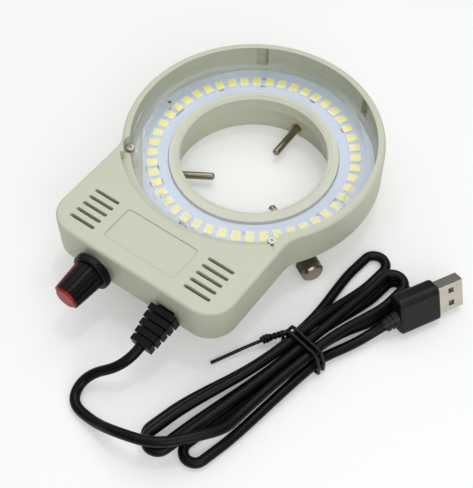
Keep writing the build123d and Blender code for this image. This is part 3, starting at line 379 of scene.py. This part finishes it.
# The cord is a limp round cable with a black satin sheath. It leaves the strain relief,
# turns back on the table, climbs over the hank and ends, after seven passes, in the plug.
# The points in LEAD and TAIL are in metres, and the other values in millimetres.
CORD_RADIUS = 1.9
CORD_REST = 1.95
LEAD = [
    (0.017325, -0.090466, 0.015819),
    (0.017325, -0.09878, 0.014052),
    (0.0040, -0.1059, 0.0044),
    (0.0055, -0.1165, 0.00195),
    (0.0172, -0.1180, 0.0028),
    (0.0300, -0.1186, 0.0112),
    (0.0430, -0.1148, 0.0122),
    (0.0518, -0.1046, 0.0116),
    (0.0574, -0.0958, 0.0094),
    (0.057656, -0.089427, 0.0076),
]
TAIL = [
    (0.072983, -0.039444, 0.0029),
    (0.076063, -0.032026, 0.003602),
    (0.078131, -0.028171, 0.005024),
]
LEAD_JOINT, LEAD_TURN = Vector((58.7, -82.0, 7.6)), 262.0
TAIL_JOINT, TAIL_TURN = Vector((70.4, -44.3, 2.9)), 62.0
WAIST = Vector((60.1, -53.2, 0.0))
WAIST_STEP, WAIST_LIFT, LAYER_STEP = 4.28, 1.66, 4.5
LOWER_PASSES, LOWER_MIDDLE, UPPER_MIDDLE = 4, 1.5, 5
NEAR_RADIUS, FAR_RADIUS = 4.1, 4.3
NEAR_FOLDS = ((5.45, 52.75, 0), (-7.4, 58.8, 0), (-4.0, 60.9, 1))
FAR_FOLDS = ((7.4, 43.15, 0), (-5.9, 47.2, 0), (5.92, 42.55, 1))
FOLD_CORNERS = 3


def level(angle):
    """A level direction at an angle round the bore's axis."""
    turn = math.radians(angle)
    return Vector((math.cos(turn), math.sin(turn), 0.0))


UP = Vector((0.0, 0.0, 1.0))
WAIST_AXIS, WAIST_SIDE = level(78.9), level(-11.1)
NEAR_ARM, NEAR_SIDE = level(255.4), level(345.4)
FAR_ARM, FAR_SIDE = level(82.4), level(-7.6)


def waist_point(index):
    """Where one of the seven passes goes through the waist: four below, three on top."""
    if index < LOWER_PASSES:
        across, height = LOWER_MIDDLE - index, CORD_REST + WAIST_LIFT
    else:
        across, height = index - UPPER_MIDDLE, CORD_REST + WAIST_LIFT + LAYER_STEP
    return WAIST + WAIST_SIDE * across * WAIST_STEP + UP * height


def fold_end(folds, index, arm, side, radius, sign):
    """Where a pass reaches the half turn at an arm's end."""
    across, reach, layer = folds[index]
    height = CORD_REST + layer * LAYER_STEP
    return WAIST + arm * reach + side * (across + sign * radius) + UP * height


def fold_turn(folds, index, arm, side, radius, sign):
    """The corners that a half turn at an arm's end needs, with a point before and after it."""
    across, reach, layer = folds[index]
    middle = WAIST + arm * reach + side * across + UP * (CORD_REST + layer * LAYER_STEP)
    half = math.pi / FOLD_CORNERS / 2
    lead_in = radius * math.tan(half)
    turn = [middle + side * sign * radius - arm * lead_in]
    for step in range(FOLD_CORNERS):
        angle = half * (2 * step + 1)
        outwards = side * sign * math.cos(angle) + arm * math.sin(angle)
        turn.append(middle + outwards * radius / math.cos(half))
    turn.append(middle - side * sign * radius - arm * lead_in)
    return turn


def swerve(start, heading, end, end_heading):
    """The two corners of a gentle bend to one side and back.

    The leg between them is as long as the two outer legs together.
    """
    total = heading + end_heading
    span = end - start
    square = total.dot(total) - 4
    slope = -2 * span.dot(total)
    reach = (-slope - math.sqrt(slope**2 - 4 * square * span.dot(span))) / (2 * square)
    return [start + heading * reach, end - end_heading * reach]


# The hank is worked out from the tail to the lead, pass by pass, and then turned round.
NEAR_END = (NEAR_FOLDS, NEAR_ARM, NEAR_SIDE, NEAR_RADIUS, -WAIST_AXIS)
FAR_END = (FAR_FOLDS, FAR_ARM, FAR_SIDE, FAR_RADIUS, WAIST_AXIS)
PASSES = (
    (NEAR_END, 0, 1),
    (FAR_END, 0, 1),
    (NEAR_END, 1, 1),
    (FAR_END, 1, -1),
    (NEAR_END, 2, -1),
    (FAR_END, 2, -1),
)
tail_heading, lead_heading = -level(TAIL_TURN), level(LEAD_TURN)
hank_start = TAIL_JOINT + tail_heading * 2 * CORD_RADIUS
hank_stop = LEAD_JOINT - lead_heading * 2 * CORD_RADIUS
hank = swerve(hank_start, tail_heading, waist_point(0), -WAIST_AXIS)
for index, ((folds, arm, side, radius, through), fold, sign) in enumerate(PASSES):
    first = fold_end(folds, fold, arm, side, radius, sign)
    second = fold_end(folds, fold, arm, side, radius, -sign)
    hank += swerve(waist_point(index), through, first, arm)
    hank += fold_turn(folds, fold, arm, side, radius, sign)
    hank += swerve(second, -arm, waist_point(index + 1), -through)
hank += swerve(waist_point(len(PASSES)), -WAIST_AXIS, hank_stop, lead_heading)
hank.reverse()

cord_points = LEAD + [tuple(point * MM) for point in hank] + TAIL
cord_curve = bpy.data.curves.new("cord", "CURVE")
cord_curve.dimensions = "3D"
cord_curve.bevel_depth = CORD_RADIUS * MM
cord_curve.bevel_resolution = 5
cord_curve.resolution_u = 8
cord_curve.use_fill_caps = True
cord_spline = cord_curve.splines.new("NURBS")
cord_spline.points.add(len(cord_points) - 1)
for spline_point, place_m in zip(cord_spline.points, cord_points):
    spline_point.co = (*place_m, 1.0)
cord_spline.order_u = 3
cord_spline.use_endpoint_u = True
cord = bpy.data.objects.new("cord", cord_curve)
bpy.context.scene.collection.objects.link(cord)
sheath = grained(
    "cord_sheath", (8, 8, 9), (13, 13, 14),
    patch=60, fine_scale=1800, rough_range=(0.26, 0.36), bump=0.08, gloss=0.15,
)
cord_curve.materials.append(sheath)
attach(cord, "light")
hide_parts("cord_lead", "cord_hank", "cord_tail")

# The twist tie is a plastic-coated wire, wound twice round the hank's waist, twisted and
# knotted, with a loose end that lies on the table.
TIE_RADIUS = 0.65
TIE_STEP = 2.3
TIE_RING = ((-9.1, 0.75), (9.1, 0.75), (9.1, 5.4), (6.9, 11.05), (-6.9, 11.05), (-9.1, 5.4))
TIE_SOFTENING = 0.25
TIE_SIDE = Vector((50.95, -50.5, 4.0))
TIE_KNOT = Vector((46.4, -56.6, 3.4))
TIE_END = Vector((35.4, -75.1, 0.9))
TWIST_TURNS, TWIST_POINTS = 2.5, 24
KNOT_TURNS, KNOT_POINTS = 3, 25
KNOT_LENGTH, KNOT_RADIUS, KNOT_TAPER = 3.2, 1.15, 0.25
END_HUMPS = ((0.35, 0.4), (0.7, 0.1))

tie_curve = bpy.data.curves.new("twist_tie_wire", "CURVE")
tie_curve.dimensions = "3D"
tie_curve.bevel_depth = TIE_RADIUS * MM
tie_curve.bevel_resolution = 4
tie_curve.resolution_u = 6
tie_curve.use_fill_caps = True


def wire(points, closed=False):
    """One smooth strand of the tie through points in millimetres."""
    strand = tie_curve.splines.new("NURBS")
    strand.points.add(len(points) - 1)
    for strand_point, point in zip(strand.points, points):
        strand_point.co = (*(point * MM), 1.0)
    strand.order_u = 3
    strand.use_endpoint_u = not closed
    strand.use_cyclic_u = closed


def square_to(line):
    """Two directions square to a line and to each other."""
    across = line.cross(UP).normalized()
    return across, line.cross(across)


for share in (-0.5, 0.5):
    base = WAIST + WAIST_AXIS * share * TIE_STEP
    corners = [base + WAIST_SIDE * across + UP * height for across, height in TIE_RING]
    ring = []
    for here, after in zip(corners, corners[1:] + corners[:1]):
        ring += [here, here.lerp(after, TIE_SOFTENING), here.lerp(after, 1 - TIE_SOFTENING)]
    wire(ring, closed=True)
twist_across, twist_over = square_to((TIE_KNOT - TIE_SIDE).normalized())
for start in (0.0, math.pi):
    twist = []
    for index in range(TWIST_POINTS + 1):
        share = index / TWIST_POINTS
        angle = start + share * TWIST_TURNS * 2 * math.pi
        swing = twist_across * math.cos(angle) + twist_over * math.sin(angle)
        twist.append(TIE_SIDE.lerp(TIE_KNOT, share) + swing * TIE_RADIUS)
    wire(twist)
loose = (TIE_END - TIE_KNOT).normalized()
loose_across, loose_over = square_to(loose)
knot = []
for index in range(KNOT_POINTS + 1):
    share = index / KNOT_POINTS
    angle = share * KNOT_TURNS * 2 * math.pi
    swell = KNOT_RADIUS - KNOT_TAPER * abs(2 * share - 1)
    swing = loose_across * math.cos(angle) + loose_over * math.sin(angle)
    knot.append(TIE_KNOT + loose * (share - 0.5) * KNOT_LENGTH + swing * swell)
wire(knot)
humps = [TIE_KNOT.lerp(TIE_END, share) + UP * lift for share, lift in END_HUMPS]
wire([TIE_KNOT, *humps, TIE_END])
tie = bpy.data.objects.new("twist_tie_wire", tie_curve)
bpy.context.scene.collection.objects.link(tie)
tie_black = grained(
    "tie_coating", (8, 8, 9), (13, 13, 14),
    patch=90, fine_scale=1500, rough_range=(0.32, 0.42), bump=0.1, gloss=0.3,
)
tie_curve.materials.append(tie_black)
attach(tie, "light")
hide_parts("twist_tie")

# The plug is a soft black overmould on a folded steel shell, with a ribbed sleeve that
# guards the cord. The shell's square holes catch the socket's springs, and a white tongue
# inside it carries the gold contacts.
plug_black = grained(
    "plug_overmould", (8, 8, 10), (13, 13, 15),
    patch=70, fine_scale=2200, rough_range=(0.34, 0.46), bump=0.12, gloss=0.3,
)
shell_steel = grained(
    "shell_steel", (214, 208, 196), (190, 184, 170),
    patch=160, fine_scale=900, rough_range=(0.2, 0.32), bump=0.04, metal=1.0,
)
tongue_white = grained(
    "plug_tongue", (226, 226, 222), (218, 218, 212),
    patch=120, rough_range=(0.35, 0.45), bump=0.04,
)
gold = grained(
    "contact_gold", (214, 178, 92), (190, 150, 70),
    patch=200, rough_range=(0.2, 0.3), bump=0.02, metal=1.0,
)
finish_node(plug_black, "plug_body", "plug_relief")
finish_node(shell_steel, "usb_shell")
finish_node(tongue_white, "usb_tongue")
finish_node(gold, "usb_contacts")

# The floor is a pale seamless sheet. The camera also sees a share of even white in it, which
# keeps it as pale as in the photograph, and the object's shadows stay on it.
FLOOR_HALF = 3.0
GLOW_STRENGTH, GLOW_SHARE = 1.1, 0.25
floor_mesh = bpy.data.meshes.new("floor")
floor_form = bmesh.new()
bmesh.ops.create_grid(floor_form, x_segments=1, y_segments=1, size=FLOOR_HALF)
floor_form.to_mesh(floor_mesh)
floor_form.free()
floor = bpy.data.objects.new("floor", floor_mesh)
bpy.context.scene.collection.objects.link(floor)
floor_white, tree, shader = new_material("floor_white")
shader.inputs["Base Color"].default_value = linear(247, 248, 247)
shader.inputs["Roughness"].default_value = 0.6
shader.inputs["Specular IOR Level"].default_value = 0.2
glow = tree.nodes.new("ShaderNodeEmission")
glow.inputs["Color"].default_value = linear(254, 254, 253)
glow.inputs["Strength"].default_value = GLOW_STRENGTH
seen = tree.nodes.new("ShaderNodeLightPath")
share_seen = math_step(
    tree, "ShaderNodeMath", "MULTIPLY", seen.outputs["Is Camera Ray"], GLOW_SHARE
)
blend = tree.nodes.new("ShaderNodeMixShader")
tree.links.new(share_seen.outputs[0], blend.inputs[0])
tree.links.new(shader.outputs[0], blend.inputs[1])
tree.links.new(glow.outputs[0], blend.inputs[2])
tree.links.new(blend.outputs[0], tree.nodes["Material Output"].inputs["Surface"])
floor_mesh.materials.append(floor_white)

# The studio is a white dome, dim near the floor and brighter overhead, and plain white
# where the camera sees it. Four square soft lamps stand in it.
DOME_LOW, DOME_HIGH = 0.2, 0.95
DIMMEST, BRIGHTEST = 0.04, 0.8
world = bpy.data.worlds.new("studio")
bpy.context.scene.world = world
world.use_nodes = True
sky = world.node_tree
sky_place = sky.nodes.new("ShaderNodeTexCoord")
sky_split = sky.nodes.new("ShaderNodeSeparateXYZ")
sky_share = sky.nodes.new("ShaderNodeMapRange")
sky_share.inputs["From Min"].default_value = DOME_LOW
sky_share.inputs["From Max"].default_value = DOME_HIGH
sky_share.inputs["To Min"].default_value = DIMMEST
sky_share.inputs["To Max"].default_value = BRIGHTEST
sky.links.new(sky_place.outputs["Generated"], sky_split.inputs[0])
sky.links.new(sky_split.outputs["Z"], sky_share.inputs["Value"])
sky_seen = sky.nodes.new("ShaderNodeLightPath")
sky_level = math_step(sky, "ShaderNodeMath", "MAXIMUM", sky_share.outputs["Result"])
sky.links.new(sky_seen.outputs["Is Camera Ray"], sky_level.inputs[1])
sky.links.new(sky_level.outputs[0], sky.nodes["Background"].inputs["Strength"])
sky.nodes["Background"].inputs["Color"].default_value = (1.0, 1.0, 1.0, 1.0)


def soft_lamp(name, spot, aim, size, power):
    """A square soft lamp at a spot, turned to its aim, with its side and power."""
    data = bpy.data.lights.new(name, "AREA")
    data.size = size
    data.energy = power
    data.color = (1.0, 1.0, 1.0)
    lamp = bpy.data.objects.new(name, data)
    bpy.context.scene.collection.objects.link(lamp)
    facing = (Vector(aim) - Vector(spot)).to_track_quat("-Z", "Y")
    lamp.matrix_world = Matrix.Translation(spot) @ facing.to_matrix().to_4x4()


soft_lamp("overhead", spot=(-0.12, 0.3, 0.8), aim=(0.0, -0.03, 0.0), size=0.7, power=1.8)
soft_lamp("fill", spot=(0.5, -0.36, 0.42), aim=(0.0, -0.01, 0.0), size=0.5, power=1.85)
soft_lamp("side", spot=(-0.6, 0.12, 0.35), aim=(0.0, 0.0, 0.0), size=0.5, power=0.5)
soft_lamp("spark", spot=(0.03, 0.1, 0.9), aim=(0.0, 0.0, 0.0), size=0.05, power=0.6)

# The camera stands in front and to the right of the light and looks down on it.
# Its place and lens come from the ring's outline and the lamps in the photograph.
PHOTO_WIDTH, PHOTO_HEIGHT = 473, 488
FOCAL_PIXELS = 1033.72
SENSOR_HEIGHT = 36.0
CAMERA_TURN, CAMERA_RISE, CAMERA_ROLL = 0.644009, 0.951475, -0.012155
CAMERA_DISTANCE = 0.4
CAMERA_TARGET = Vector((0.011605, -0.027263, 0.0))
turned = (
    Matrix.Rotation(CAMERA_TURN, 4, "Z")
    @ Matrix.Rotation(math.pi / 2 - CAMERA_RISE, 4, "X")
    @ Matrix.Rotation(CAMERA_ROLL, 4, "Z")
)
camera_spot = CAMERA_TARGET + turned.col[2].xyz * CAMERA_DISTANCE
camera_data = bpy.data.cameras.new("camera")
camera_data.sensor_fit = "VERTICAL"
camera_data.sensor_height = SENSOR_HEIGHT
camera_data.sensor_width = SENSOR_HEIGHT * PHOTO_WIDTH / PHOTO_HEIGHT
camera_data.lens = SENSOR_HEIGHT * FOCAL_PIXELS / PHOTO_HEIGHT
camera_data.clip_start = 0.01
camera = bpy.data.objects.new("camera", camera_data)
bpy.context.scene.collection.objects.link(camera)
camera.matrix_world = Matrix.Translation(camera_spot) @ turned
bpy.context.scene.camera = camera
bpy.context.scene.view_settings.view_transform = "Standard"
